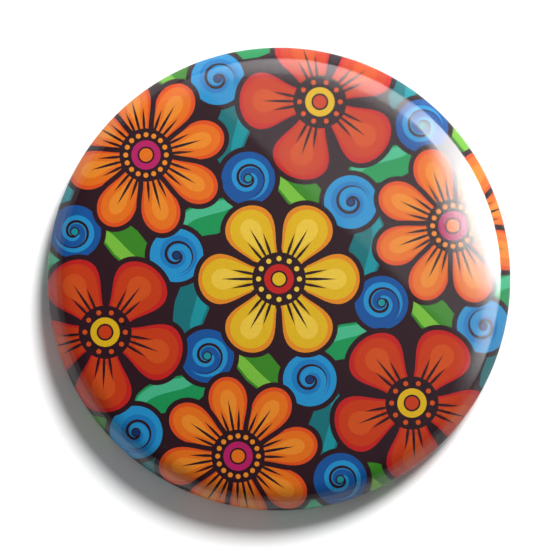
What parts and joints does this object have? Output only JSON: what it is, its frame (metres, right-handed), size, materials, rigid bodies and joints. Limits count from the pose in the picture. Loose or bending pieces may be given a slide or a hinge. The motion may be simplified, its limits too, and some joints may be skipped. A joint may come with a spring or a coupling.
{
  "type": "button badge",
  "caption": "Round domed button badge with a printed floral face under clear film and a safety pin on its pressed steel back.",
  "frame": {"origin": "centre of the plane that the back rim rests on, with the badge face up", "axes": "+Z out of the printed face, +X to the right and +Y up as the badge is worn"},
  "size_m": [0.058, 0.058, 0.0089],
  "materials": {
    "film": "clear gloss polyester film",
    "print": "colour print on coated paper, seen through gloss film",
    "shell_steel": "bare tinplate",
    "back_steel": "satin tinplate",
    "pin_nickel": "bright nickel plate"
  },
  "bodies": {
    "badge": {"clear_film": "film", "artwork_disc": "print", "front_shell": "shell_steel", "back_plate": "back_steel"},
    "safety_pin": {"pin_wire": "pin_nickel", "pin_cap": "pin_nickel"},
    "needle": {"pin_needle": "pin_nickel"}
  },
  "joints": [
    {"name": "pin_swivel", "type": "hinge", "parent": "badge", "child": "safety_pin", "pos_m": [0, 0.0026, 0.0015], "axis": [1, 0, 0], "range_deg": [0, 120]},
    {"name": "needle_open", "type": "hinge", "parent": "safety_pin", "child": "needle", "pos_m": [-0.0165, -0.0016, 0.00085], "axis": [0, 0.866, -0.5], "range_deg": [0, 30], "stiffness_Nm_per_rad": 0.001}
  ]
}
